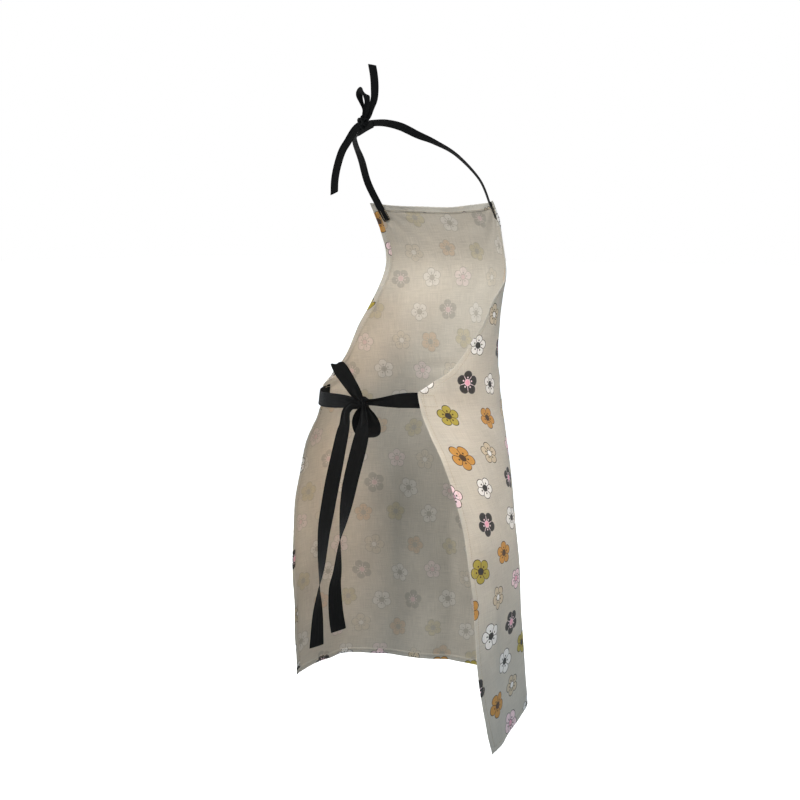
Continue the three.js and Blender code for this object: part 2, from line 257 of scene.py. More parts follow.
def plan_along(section, length):
    """Point of a level's plan at a length along it from centre front."""
    side = np.where(length < 0, -1.0, 1.0)
    goal = np.abs(length)
    done = np.zeros_like(goal)
    x, y = plan_point(section, np.zeros_like(goal))
    found_x, found_y = np.zeros_like(goal), np.zeros_like(goal)
    for degree in range(1, 181):
        next_x, next_y = plan_point(section, np.full_like(goal, math.radians(degree)))
        reach = np.hypot(next_x - x, next_y - y)
        here = (done <= goal) & (goal < done + reach)
        part = np.where(here, (goal - done) / reach, 0)
        found_x = np.where(here, x + (next_x - x) * part, found_x)
        found_y = np.where(here, y + (next_y - y) * part, found_y)
        done = done + reach
        x, y = next_x, next_y
    return side * found_x, found_y


def smooth_cloth(across, row):
    """The worn shape without folds, at a place across the cloth and a row of it."""
    half, shift, tilt = read(CUT, row)
    s = across / half
    sag = HEM_SAG * bell(s - SAG_AT, SAG_SPREAD) - HEM_RISE * bell(s - RISE_AT, SAG_SPREAD)
    drop = (CORNER_DROP * s**4 + sag) * ease(DROP_FROM, DROP_TO, row)
    level = row - tilt * s - drop + BIB_LIFT * s**2 * ease(LIFT_FROM, BIB_TOP, row)
    x, y = plan_along(read(WORN_PLAN, level), shift + across)
    return np.stack([x, y, level], axis=-1)


def unit(vectors):
    return vectors / np.linalg.norm(vectors, axis=-1, keepdims=True)


def outward(surface, across, row, reach=3.0):
    """Direction away from the wearer at a place on the cloth."""
    a = surface(across + reach, row) - surface(across - reach, row)
    b = surface(across, row + reach) - surface(across, row - reach)
    return unit(np.cross(a, b))


def slant(row):
    """How much longer a level line across the turned edge is than the edge is wide."""
    run = (read(CUT, row - SLANT_REACH)[0] - read(CUT, row + SLANT_REACH)[0]) / (2 * SLANT_REACH)
    return np.sqrt(1 + run**2)


def to_edge(across, row):
    """Distance from the nearest edge of the cloth."""
    side = (read(CUT, row)[0] - np.abs(across)) / slant(row)
    return np.minimum(side, np.minimum(BIB_TOP - row, row - HEM))


def relief(across, row):
    """Height of the folds, creases, rumples and sewn edge over the smooth cloth."""
    height = np.zeros_like(across)
    for at, ridge, spread, start in FOLDS:
        height = height + ridge * bell(across - at, spread) * ease(start, HEM, row)
    for at, ridge, spread, start, lean in SMALL_FOLDS:
        aside = across - at - lean * (row - start)
        height = height + ridge * bell(aside, spread) * ease(start, start - SMALL_FOLD_RUN, row)
    for at, level, ridge, count, reach, start in PULLS:
        far = np.hypot(across - at, row - level)
        wave = np.sin(count * np.arctan2(row - level, across - at) + start)
        height = height + ridge * wave * ease(*PULL_RISE, far) * bell(far, reach)
    swell = WAIST_LEAST + (1 - WAIST_LEAST) * np.sin(across / WAIST_SWELL + WAIST_SWELL_START)
    waist = bell(row - WAIST_ROW, WAIST_SPREAD) * swell
    height = height + WAIST_RIDGE * waist * ripple(row + WAIST_TILT * across, WAIST_WAVE)
    for a0, r0, a1, r1, ridge, spread in CREASES:
        run = math.hypot(a1 - a0, r1 - r0)
        along = ((across - a0) * (a1 - a0) + (row - r0) * (r1 - r0)) / run**2
        aside = ((across - a0) * (r1 - r0) - (row - r0) * (a1 - a0)) / run
        taper = ease(*CREASE_START, along) * ease(*CREASE_END, along)
        height = height + ridge * taper * bell(aside, spread)
    for tall, wave_across, wave_along, start in RUMPLES:
        height = height + tall * ripple(across / wave_across + row / wave_along, 1, start)
    edge = to_edge(across, row)
    height = height + EDGE_RIDGE * ripple(row + across, EDGE_WAVE) * np.exp(-np.abs(edge) / EDGE_REACH)
    armhole = ease(*ARMHOLE_FOOT, row) * ease(*ARMHOLE_TOP, row)
    height = height - ARMHOLE_ROLL * ease(ARMHOLE_REACH, 0, edge) * armhole
    pucker = PUCKER_RIDGE * ripple(row + across, PUCKER_WAVE) * ease(*PUCKER_REACH, edge)
    return height + pucker - GROOVE_DEPTH * bell(edge - STITCH_INSET, GROOVE_SPREAD)


def cloth(across, row):
    """Outer face of the cloth as it hangs."""
    return smooth_cloth(across, row) + outward(smooth_cloth, across, row) * relief(across, row)[..., None]


def two_faced(outer, inner, bulge, uv, uv_turned=None, turned=None):
    """Closed sheet between two grids of points, with a rounded rim. A turned edge shows the outside."""
    rows, columns = outer.shape[:2]
    index = np.arange(rows * columns).reshape(rows, columns)
    front = np.stack([index[:-1, :-1], index[:-1, 1:], index[1:, 1:], index[1:, :-1]], -1).reshape(-1, 4)
    back = front[:, ::-1] + rows * columns
    loop = np.concatenate([index[0, :-1], index[:-1, -1], index[-1, :0:-1], index[:0:-1, 0]])
    i, j = np.divmod(loop, columns)
    within = np.clip(i, 1, rows - 2) * columns + np.clip(j, 1, columns - 2)
    flat_outer, flat_inner = outer.reshape(-1, 3), inner.reshape(-1, 3)
    rim = (flat_outer[loop] + flat_inner[loop]) / 2 + unit(flat_outer[loop] - flat_outer[within]) * bulge
    ring = 2 * rows * columns + np.arange(len(loop))
    after = np.roll(loop, -1)
    ring_after = np.roll(ring, -1)
    upper = np.stack([after, loop, ring, ring_after], -1)
    lower = np.stack([ring_after, ring, loop + rows * columns, after + rows * columns], -1)
    flat_uv = uv.reshape(-1, 2)
    every_uv = np.concatenate([flat_uv, flat_uv, flat_uv[loop]])
    faces = np.concatenate([front, back, upper, lower])
    face_uv = every_uv[faces]
    finish = np.zeros(len(faces), int)
    finish[len(front):2 * len(front)] = 1
    if turned is not None:
        folded = turned.reshape(-1)[front].all(axis=1)
        here = len(front) + np.nonzero(folded)[0]
        face_uv[here] = uv_turned.reshape(-1, 2)[back[folded] - rows * columns]
        finish[here] = 0
    points = np.concatenate([flat_outer, flat_inner, rim])
    return {"points": points, "faces": faces, "uv": face_uv, "finish": finish}


def lay_mesh(name, parts, materials, uv_name):
    """One mesh object, in metres, from sheets or threads given in millimetres."""
    starts = np.cumsum([0] + [len(p["points"]) for p in parts])
    points = np.concatenate([p["points"] for p in parts]) * MM
    faces = np.concatenate([p["faces"] + start for p, start in zip(parts, starts)])
    mesh = bpy.data.meshes.new(name)
    mesh.from_pydata(points.tolist(), [], faces.tolist())
    flat = np.concatenate([p["uv"] for p in parts]).ravel() * MM
    mesh.uv_layers.new(name=uv_name).data.foreach_set("uv", flat)
    for material in materials:
        mesh.materials.append(material)
    mesh.polygons.foreach_set("material_index", np.concatenate([p["finish"] for p in parts]))
    mesh.polygons.foreach_set("use_smooth", np.ones(len(faces), bool))
    mesh.update()
    piece = bpy.data.objects.new(name, mesh)
    bpy.context.collection.objects.link(piece)
    return piece


def put(tree, kind, feeds=None, **settings):
    """A node with its settings made and its sockets fed by values or by other nodes' outputs."""
    node = tree.nodes.new(kind)
    for key, value in settings.items():
        setattr(node, key, value)
    for key, value in (feeds or {}).items():
        if isinstance(value, bpy.types.NodeSocket):
            tree.links.new(value, node.inputs[key])
        else:
            node.inputs[key].default_value = value
    return node


def calc(tree, operation, *values):
    """The result of a sum on values or on other nodes' outputs."""
    feeds = dict(enumerate(values))
    return put(tree, "ShaderNodeMath", feeds, operation=operation).outputs[0]


def band(tree, value, low, high, at_low=0.0, at_high=1.0):
    """A value carried smoothly from one level to another between two limits."""
    feeds = {"Value": value, "From Min": low, "From Max": high, "To Min": at_low, "To Max": at_high}
    return put(tree, "ShaderNodeMapRange", feeds, interpolation_type="SMOOTHSTEP").outputs["Result"]


def blend(tree, share, first, second, kind="MIX"):
    """Two colours mixed by a share."""
    node = put(tree, "ShaderNodeMix", data_type="RGBA", blend_type=kind)
    for socket, value in zip((node.inputs[0], node.inputs[6], node.inputs[7]), (share, first, second)):
        if isinstance(value, bpy.types.NodeSocket):
            tree.links.new(value, socket)
        else:
            socket.default_value = value
    return node.outputs[2]


def mottle(tree, flat, scale, detail):
    """Soft uneven patches over the flat cloth."""
    feeds = {"Vector": flat, "Scale": scale, "Detail": detail}
    return put(tree, "ShaderNodeTexNoise", feeds, noise_dimensions="2D").outputs[0]


def streaks(tree, flat, across, along):
    """Uneven streaks that follow the yarns."""
    drawn_out = put(tree, "ShaderNodeVectorMath", {0: flat, 1: (across, along, 0)}, operation="MULTIPLY")
    return mottle(tree, drawn_out.outputs[0], 1.0, 2.0)


def distance(tree, first, second):
    """Length of a slant line from its two level lengths."""
    squared = calc(tree, "MULTIPLY", second, second)
    return calc(tree, "SQRT", calc(tree, "MULTIPLY_ADD", first, first, squared))


def raised(tree, height, strength, depth):
    """The slight tilt that a fine relief gives the surface."""
    feeds = {"Height": height, "Strength": strength, "Distance": depth}
    return put(tree, "ShaderNodeBump", feeds).outputs[0]


def new_finish(name, uv_map):
    """A new material, its nodes, the sockets of its shader and the places on the flat cloth or tape."""
    material = bpy.data.materials.new(name)
    material.use_nodes = True
    tree = material.node_tree
    flat = put(tree, "ShaderNodeUVMap", uv_map=uv_map).outputs[0]
    return material, tree, tree.nodes["Principled BSDF"].inputs, flat


def ramp(tree, value, stops):
    """Steps of colour, each from its own start on."""
    node = put(tree, "ShaderNodeValToRGB", {"Fac": value})
    node.color_ramp.interpolation = "CONSTANT"
    while len(node.color_ramp.elements) < len(stops):
        node.color_ramp.elements.new(0.5)
    for element, (start, colour) in zip(node.color_ramp.elements, stops):
        element.position = start
        element.color = colour
    return node.outputs["Color"]


def group(name, inputs, outputs):
    """A new node group with its named sockets."""
    tree = bpy.data.node_groups.new(name, "ShaderNodeTree")
    for label, kind in inputs:
        tree.interface.new_socket(label, in_out="INPUT", socket_type=kind)
    for label, kind in outputs:
        tree.interface.new_socket(label, in_out="OUTPUT", socket_type=kind)
    return tree, tree.nodes.new("NodeGroupInput").outputs, tree.nodes.new("NodeGroupOutput").inputs


def dye(red, green, blue):
    """A colour as the eye reads it, 0 to 255, as the light it gives back."""
    parts = [v / 255 for v in (red, green, blue)]
    return tuple(v / 12.92 if v <= 0.04045 else ((v + 0.055) / 1.055) ** 2.4 for v in parts) + (1.0,)


YARN = 0.0008
SLUB_FINE = 1100
SLUB_LONG = 45
# Painted shade in the weave: the colour is darker in the gaps where the yarns sink and full on their
# crowns.
GAP_SHADE = 0.86
CROWN_SHADE = 0.16
SLUB_HEIGHT = 0.6
weave_tree, fed, out = group(
    "linen weave",
    [("Cloth", "NodeSocketVector"), ("Slub", "NodeSocketFloat")],
    [("Slub Tone And Painted Shade", "NodeSocketFloat"), ("Relief", "NodeSocketFloat")],
)
place = put(weave_tree, "ShaderNodeSeparateXYZ", {0: fed["Cloth"]}).outputs
warp = calc(weave_tree, "SINE", calc(weave_tree, "MULTIPLY", place[0], math.pi / YARN))
weft = calc(weave_tree, "SINE", calc(weave_tree, "MULTIPLY", place[1], math.pi / YARN))
over = calc(weave_tree, "GREATER_THAN", calc(weave_tree, "MULTIPLY", warp, weft), 0.0)
warp_crown = calc(weave_tree, "ABSOLUTE", warp)
weft_crown = calc(weave_tree, "ABSOLUTE", weft)
crown_feeds = {0: over, 2: warp_crown, 3: weft_crown}
crown = put(weave_tree, "ShaderNodeMix", crown_feeds, data_type="FLOAT").outputs[0]
slubs = [
    streaks(weave_tree, fed["Cloth"], SLUB_FINE, SLUB_LONG),
    streaks(weave_tree, fed["Cloth"], SLUB_LONG, SLUB_FINE),
]
uneven = calc(weave_tree, "SUBTRACT", calc(weave_tree, "ADD", *slubs), 1.0)
slub_tone = calc(weave_tree, "MULTIPLY_ADD", uneven, fed["Slub"], 1.0)
# Painted shade in the gaps between the yarns, darkest where the yarn on top sinks; it multiplies the slubs'
# own uneven tone.
painted_gap_shade = calc(weave_tree, "MULTIPLY_ADD", crown, CROWN_SHADE, GAP_SHADE)
weave_tree.links.new(calc(weave_tree, "MULTIPLY", slub_tone, painted_gap_shade), out["Slub Tone And Painted Shade"])
weave_tree.links.new(calc(weave_tree, "MULTIPLY_ADD", uneven, SLUB_HEIGHT, crown), out["Relief"])

REPEAT_ACROSS = 0.057
REPEAT_ALONG = 0.046
STRAY_ACROSS = 0.017
STRAY_ALONG = 0.010
PETAL_REACH = 0.0165
PETALS = 5
HALF_PETAL = math.pi / PETALS
SMALLEST = 0.88
SIZE_RANGE = 0.14
PETAL_ROUND = 0.55
PETAL_NOTCH = 0.64
CONTOUR = 0.0010
PETAL_GAP = 0.0008
BEAD = 0.0010
BEAD_REACH = 0.0068
HEART = 0.0036
HEART_RING = 0.0044
PEN_RIM = 0.0003
GAP_RIM = 0.0005
LINE_STEP = 3.0
COLUMN_STEP = 2.0
print_tree, fed, out = group(
    "blossom scatter",
    [("Cloth", "NodeSocketVector")],
    [("Ink", "NodeSocketColor"), ("Cover", "NodeSocketFloat")],
)
place = put(print_tree, "ShaderNodeSeparateXYZ", {0: fed["Cloth"]}).outputs
along = calc(print_tree, "DIVIDE", place[1], REPEAT_ALONG)
line = calc(print_tree, "FLOOR", along)
half_drop = calc(print_tree, "MULTIPLY", calc(print_tree, "FLOORED_MODULO", line, 2.0), 0.5)
sideways = calc(print_tree, "ADD", calc(print_tree, "DIVIDE", place[0], REPEAT_ACROSS), half_drop)
column = calc(print_tree, "FLOOR", sideways)
spot = put(print_tree, "ShaderNodeCombineXYZ", {0: column, 1: line}).outputs[0]
drawn_lots = put(print_tree, "ShaderNodeTexWhiteNoise", {"Vector": spot}, noise_dimensions="2D")
chance = put(print_tree, "ShaderNodeSeparateColor", {0: drawn_lots.outputs["Color"]}).outputs


def from_centre(place_in_repeat, cell, repeat, chance, stray):
    """Distance from the middle of a blossom that strays from the middle of its repeat."""
    inside_repeat = calc(print_tree, "SUBTRACT", calc(print_tree, "SUBTRACT", place_in_repeat, cell), 0.5)
    strayed = calc(print_tree, "MULTIPLY", calc(print_tree, "SUBTRACT", chance, 0.5), -stray)
    return calc(print_tree, "MULTIPLY_ADD", inside_repeat, repeat, strayed)


def inked_to(value, thick, rim=PEN_RIM):
    """Ink that is full up to a thickness and fades over its rim."""
    return band(print_tree, value, thick, thick + rim, 1.0, 0.0)


right = from_centre(sideways, column, REPEAT_ACROSS, chance[0], STRAY_ACROSS)
up = from_centre(along, line, REPEAT_ALONG, chance[1], STRAY_ALONG)
radius = distance(print_tree, up, right)
turn = calc(print_tree, "MULTIPLY_ADD", chance[2], 2 * math.pi, calc(print_tree, "ARCTAN2", up, right))
half_turns = calc(print_tree, "MULTIPLY", turn, PETALS / 2)
lobe = calc(print_tree, "ABSOLUTE", calc(print_tree, "COSINE", half_turns))
rounded = calc(print_tree, "POWER", lobe, PETAL_ROUND)
petal = calc(print_tree, "MULTIPLY_ADD", rounded, 1 - PETAL_NOTCH, PETAL_NOTCH)
size = calc(print_tree, "MULTIPLY_ADD", chance[0], SIZE_RANGE * PETAL_REACH, SMALLEST * PETAL_REACH)
inside = calc(print_tree, "SUBTRACT", calc(print_tree, "MULTIPLY", petal, size), radius)
cover = band(print_tree, inside, 0.0, PEN_RIM)
contour = inked_to(inside, CONTOUR)
between = inked_to(calc(print_tree, "MULTIPLY", radius, lobe), PETAL_GAP, GAP_RIM)
past_gap = calc(print_tree, "ADD", turn, HALF_PETAL)
in_petal = calc(print_tree, "FLOORED_MODULO", past_gap, 2 * HALF_PETAL)
petal_turn = calc(print_tree, "SUBTRACT", in_petal, HALF_PETAL)
bead_x = calc(print_tree, "MULTIPLY_ADD", calc(print_tree, "COSINE", petal_turn), radius, -BEAD_REACH)
bead_y = calc(print_tree, "MULTIPLY", calc(print_tree, "SINE", petal_turn), radius)
stamen = inked_to(distance(print_tree, bead_x, bead_y), BEAD)
heart = inked_to(radius, HEART)
heart_line = calc(print_tree, "SUBTRACT", inked_to(radius, HEART_RING), heart)
outlines = calc(print_tree, "MAXIMUM", contour, between)
details = calc(print_tree, "MAXIMUM", stamen, heart_line)
lines = calc(print_tree, "MAXIMUM", outlines, details)

CHARCOAL = dye(36, 35, 38)
PAPER = dye(242, 241, 240)
NATURAL = dye(206, 192, 168)
OCHRE = dye(204, 147, 66)
UMBER = dye(70, 44, 24)
ROSE = dye(236, 172, 196)
BLUSH = dye(246, 220, 228)
OLIVE = dye(176, 160, 64)
BLOSSOMS = [
    # petals, lines, heart
    (PAPER, CHARCOAL, CHARCOAL),
    (OCHRE, UMBER, UMBER),
    (CHARCOAL, BLUSH, ROSE),
    (NATURAL, CHARCOAL, PAPER),
    (PAPER, CHARCOAL, CHARCOAL),
    (BLUSH, CHARCOAL, ROSE),
    (OLIVE, UMBER, CHARCOAL),
]
column_order = calc(print_tree, "MULTIPLY", column, COLUMN_STEP)
order = calc(print_tree, "MULTIPLY_ADD", line, LINE_STEP, column_order)
kind = calc(print_tree, "FLOORED_MODULO", order, float(len(BLOSSOMS)))
pick = calc(print_tree, "DIVIDE", calc(print_tree, "ADD", kind, 0.5), float(len(BLOSSOMS)))
starts = [k / len(BLOSSOMS) for k in range(len(BLOSSOMS))]
fill, stroke, core = (ramp(print_tree, pick, list(zip(starts, inks))) for inks in zip(*BLOSSOMS))
edged = blend(print_tree, contour, stroke, CHARCOAL)
inked = blend(print_tree, heart, blend(print_tree, lines, fill, edged), core)
print_tree.links.new(inked, out["Ink"])
print_tree.links.new(cover, out["Cover"])


def cloth_finish(name, ground, ink_share, slub):
    """Natural cloth with its weave and a share of the print."""
    material, tree, shader, flat = new_finish(name, "cloth_flat")
    weave = put(tree, "ShaderNodeGroup", node_tree=weave_tree)
    tree.links.new(flat, weave.inputs["Cloth"])
    weave.inputs["Slub"].default_value = slub
    blossoms = put(tree, "ShaderNodeGroup", node_tree=print_tree)
    tree.links.new(flat, blossoms.inputs["Cloth"])
    worn = band(tree, mottle(tree, flat, 14.0, 3.0), 0.3, 0.75)
    darker = tuple(0.9 * v for v in ground[:3]) + (1.0,)
    base = blend(tree, worn, ground, darker)
    share = calc(tree, "MULTIPLY", blossoms.outputs["Cover"], ink_share)
    printed = blend(tree, share, base, blossoms.outputs["Ink"])
    # The weave multiplies the printed colour by the yarns' own uneven tone and by its painted shade in the
    # gaps.
    shaded = blend(tree, 1.0, printed, weave.outputs["Slub Tone And Painted Shade"], "MULTIPLY")
    rough = band(tree, weave.outputs["Relief"], 0.0, 1.0, 0.97, 0.84)
    tree.links.new(shaded, shader["Base Color"])
    tree.links.new(rough, shader["Roughness"])
    tree.links.new(raised(tree, weave.outputs["Relief"], 0.5, 0.0003), shader["Normal"])
    shader["Specular IOR Level"].default_value = 0.25
    shader["Sheen Weight"].default_value = 0.12
    shader["Sheen Roughness"].default_value = 0.6
    return material


printed_cloth = cloth_finish("printed natural cloth", dye(205, 200, 190), 0.96, 0.26)
plain_cloth = cloth_finish("plain inside of the cloth", dye(206, 198, 185), 0.24, 0.30)

levels = np.concatenate([
    BIB_TOP - EDGE_STEPS,
    np.linspace(BIB_TOP - EDGE_STEPS[-1], HEM + EDGE_STEPS[-1], INNER_ROWS + 2)[1:-1],
    HEM + EDGE_STEPS[::-1],
])
half = read(CUT, levels)[0][:, None]
stretch = slant(levels)[:, None]
margin = EDGE_STEPS[None] * stretch
middle = np.linspace(-1, 1, INNER_COLUMNS + 2)[None, 1:-1] * (half - margin[:, -1:])
across = np.concatenate([margin - half, middle, (half - margin)[:, ::-1]], axis=1)
row = np.broadcast_to(levels[:, None], across.shape)
outer = cloth(across, row)
facing = unit(np.cross(np.gradient(outer, axis=1), -np.gradient(outer, axis=0)))
edge = to_edge(across, row)
doubled = edge < TURNED_EDGE
inner = outer - facing * np.where(doubled, HEM_WALL, CLOTH_WALL)[..., None]

centre = outer[:, outer.shape[1] // 2]
run_down = np.concatenate([[0], np.cumsum(np.linalg.norm(np.diff(centre, axis=0), axis=1))])
flat_uv = np.stack([across, np.broadcast_to(-run_down[:, None], across.shape)], axis=-1)
turned_uv = flat_uv.copy()
side_edge = (half - np.abs(across)) / stretch < TURNED_EDGE
turned_uv[..., 0] = np.where(side_edge, np.sign(across) * (2 * half - np.abs(across)), across)
at_top = BIB_TOP - row < TURNED_EDGE
at_foot = row - HEM < TURNED_EDGE
turned_uv[..., 1] = np.where(at_top, -flat_uv[..., 1], flat_uv[..., 1])
turned_uv[..., 1] = np.where(at_foot, -2 * run_down[-1] - flat_uv[..., 1], turned_uv[..., 1])

sheet = two_faced(outer[::-1], inner[::-1], RIM_BULGE, flat_uv[::-1], turned_uv[::-1], doubled[::-1])
apron_cloth = lay_mesh("apron_cloth", [sheet], [printed_cloth, plain_cloth], "cloth_flat")
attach(apron_cloth, "root")
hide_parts("apron_body")

# The sewing thread: a natural cotton thread that holds the turned edges down all round and the tapes' ends
# in a square. Each stitch is a short length of thread that dips into the cloth at both ends.
STITCH_PITCH = 3.2
STITCH_LENGTH = 2.7
THREAD = 0.26
THREAD_SIDES = 6
PLY_TWIST = 0.9
STITCH_SHARES = np.array([0, 0.14, 0.5, 0.86, 1])
STITCH_SINK = np.array([0.45, 0.0, -0.12, 0.0, 0.45])
STITCH_GIRTH = np.array([0.6, 1, 1.05, 1, 0.6])
SIDE_STEPS = 500
LEVEL_STEPS = 240
SQUARE_STEPS = 80
TIE_ROW = -375
TIE_INSET = 13
TIE_SQUARE = (18, 15)
NECK_SHIFT = 104
NECK_DROP = 13
NECK_SQUARE = (8, 16)
TAPE_DEPTH = 2.2


def stitches(across, row, depth, closed=False):
    """A run of stitches along a path on the cloth, at a depth below its outer face."""
    if closed:
        across, row = np.append(across, across[0]), np.append(row, row[0])
    track = cloth(across, row)
    run = np.concatenate([[0], np.cumsum(np.linalg.norm(np.diff(track, axis=0), axis=1))])
    starts = np.arange(0, run[-1] - STITCH_LENGTH, STITCH_PITCH)
    sink = STITCH_SINK * (1 if depth == 0 else -1)
    spots = (starts[:, None] + STITCH_LENGTH * STITCH_SHARES).ravel()
    a, r = np.interp(spots, run, across), np.interp(spots, run, row)
    facing = outward(cloth, a, r, 1.0)
    lift = -depth - np.tile(sink, len(starts))
    spine = (cloth(a, r) + facing * lift[:, None]).reshape(len(starts), len(STITCH_SHARES), 3)
    along = unit(np.gradient(spine, axis=1))
    facing = facing.reshape(spine.shape)
    beside = unit(np.cross(along, facing))
    above = np.cross(beside, along)
    angle = 2 * math.pi * np.arange(THREAD_SIDES) / THREAD_SIDES
    girth = THREAD * STITCH_GIRTH[None, :, None, None]
    spokes = beside[:, :, None] * np.cos(angle)[None, None, :, None]
    spokes = spokes + above[:, :, None] * np.sin(angle)[None, None, :, None]
    points = (spine[:, :, None] + spokes * girth).reshape(-1, 3)
    rings = len(STITCH_SHARES)
    base = (np.arange(len(starts)) * rings * THREAD_SIDES)[:, None, None]
    ring = np.arange(rings * THREAD_SIDES).reshape(rings, THREAD_SIDES)
    side = np.roll(ring, -1, axis=1)
    wall = np.stack([ring[:-1], ring[1:], side[1:], side[:-1]], -1).reshape(-1, 4)
    caps = np.array([(0, 1, 2, 3), (0, 3, 4, 5)])
    one = np.concatenate([wall, caps, caps[:, ::-1] + (rings - 1) * THREAD_SIDES])
    faces = (one[None] + base).reshape(-1, 4)
    length = np.repeat(spots.reshape(len(starts), rings), THREAD_SIDES, axis=1).ravel()
    round_it = np.tile(np.arange(THREAD_SIDES) / THREAD_SIDES, len(starts) * rings)
    uv = np.stack([round_it, length], -1)[faces]
    return {"points": points, "faces": faces, "uv": uv, "finish": np.zeros(len(faces), int)}


thread_finish, tree, shader, flat = new_finish("natural sewing thread", "thread_run")
ply = put(tree, "ShaderNodeSeparateXYZ", {0: flat}).outputs
along_ply = calc(tree, "MULTIPLY", ply[1], 2 * math.pi / (PLY_TWIST * MM))
twist = calc(tree, "SINE", calc(tree, "MULTIPLY_ADD", ply[0], 2 * math.pi / MM, along_ply))
thread_colour = blend(tree, mottle(tree, flat, 160.0, 2.0), dye(196, 182, 158), dye(172, 157, 132))
# Painted shade: the thread darkens to a deep brown in the grooves between its plies.
painted_ply_shade = band(tree, twist, -1.0, -0.2, 0.6, 0.0)
tree.links.new(blend(tree, painted_ply_shade, thread_colour, dye(128, 114, 92)), shader["Base Color"])
tree.links.new(band(tree, twist, -1.0, 1.0, 0.85, 0.65), shader["Roughness"])
tree.links.new(raised(tree, twist, 0.4, 0.0001), shader["Normal"])

fine = np.linspace(BIB_TOP - STITCH_INSET, HEM + STITCH_INSET, SIDE_STEPS)
seam_half = read(CUT, fine)[0] - STITCH_INSET * slant(fine)
level_run = np.linspace(-1, 1, LEVEL_STEPS)[1:-1]
hem_path = np.concatenate([
    seam_half,
    -level_run * seam_half[-1],
    -seam_half[::-1],
    level_run * seam_half[0],
])
hem_rows = np.concatenate([
    fine,
    np.full_like(level_run, fine[-1]),
    fine[::-1],
    np.full_like(level_run, fine[0]),
])


def square(across, row, wide, tall):
    """Corners of a stitched square round a place on the cloth, walked in short steps."""
    corners = np.array([(-1, 1), (1, 1), (1, -1), (-1, -1), (-1, 1)])
    steps = np.linspace(0, 4, SQUARE_STEPS + 1)
    x = np.interp(steps, np.arange(5), corners[:, 0]) * wide / 2
    y = np.interp(steps, np.arange(5), corners[:, 1]) * tall / 2
    return across + x, row + y


tie_half = float(read(CUT, TIE_ROW)[0])
runs = [stitches(hem_path, hem_rows, depth, closed=True) for depth in (0, HEM_WALL)]
for side in (-1, 1):
    for depth in (0, TAPE_DEPTH):
        runs.append(stitches(*square(side * (tie_half - TIE_INSET), TIE_ROW, *TIE_SQUARE), depth))
        runs.append(stitches(*square(side * NECK_SHIFT, BIB_TOP - NECK_DROP, *NECK_SQUARE), depth))
thread = lay_mesh("hem_stitching", runs, [thread_finish], "thread_run")
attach(thread, "root")

# The neck tapes: narrow black cotton tapes sewn inside the top corners of the bib. They rise over the
# shoulders, draw together where they are gathered, and meet in the knot at the nape.
NECK_TAPE = 10
TAPE_WALL = 0.8
TAPE_COLUMNS = 17
TAPE_RIM = 0.25
FOLD_SPREAD = 0.12
UPRIGHT_REACH = 6
ASIDE_REACH = 4
PLEAT_SLACK = 1.4
PLEAT_MOST = 12
PLEAT_TALLEST = 1.5
PLEAT_START = 0.7
PLEAT_DRIFT = 0.03
SWAY_RUN = 9.0
SWAY_LEAN = 1.3
CUP_LEVEL = 0.4
SELVEDGE_AT = 0.9
SELVEDGE_SPREAD = 0.06
SELVEDGE_RISE = 0.1
RIM_FROM = 0.99
RIM_THINNER = 0.22
NECK_SEWN = [
    # further aside, below the top edge, inside the outer face
    (0, 22, 1.4),
    (1, 10, 1.8),
    (1, 3, 2.6),
]


def sewn(across, row, inset, width, level=False):
    """Path row of a tape's end on the inside of the cloth, for a tape that runs upright or level."""
    spot, at = np.array([float(across)]), np.array([float(row)])
    facing = outward(cloth, spot, at)[0]
    x, y, z = cloth(spot, at)[0] - facing * inset
    if level:
        upright = unit(cloth(spot, at + UPRIGHT_REACH) - cloth(spot, at - UPRIGHT_REACH))[0]
        out = facing[:2] / np.linalg.norm(facing[:2])
        lift = 90 + math.degrees(math.asin(-upright[:2] @ out))
        return (x, y, z, math.degrees(math.atan2(out[1], out[0])), lift, width)
    aside = (cloth(spot + ASIDE_REACH, at) - cloth(spot - ASIDE_REACH, at))[0]
    return (x, y, z, math.degrees(math.atan2(aside[1], aside[0])), 0, width)


def through(rows, share):
    """Smooth curve through the rows of a table, and its direction, at shares of its run."""
    rows = np.array(rows, float)
    knots = np.vstack([2 * rows[:1] - rows[1:2], rows, 2 * rows[-1:] - rows[-2:-1]])
    at = np.clip(share, 0, 1) * (len(rows) - 1)
    i = np.minimum(at.astype(int), len(rows) - 2)
    t = (at - i)[:, None]
    a, b, c, d = knots[i], knots[i + 1], knots[i + 2], knots[i + 3]
    square_part = a - 2.5 * b + 2 * c - d / 2
    cube_part = (d - a) / 2 + 1.5 * (b - c)
    value = b + t / 2 * (c - a) + t**2 * square_part + t**3 * cube_part
    slope = (c - a) / 2 + 2 * t * square_part + 3 * t**2 * cube_part
    return value, slope


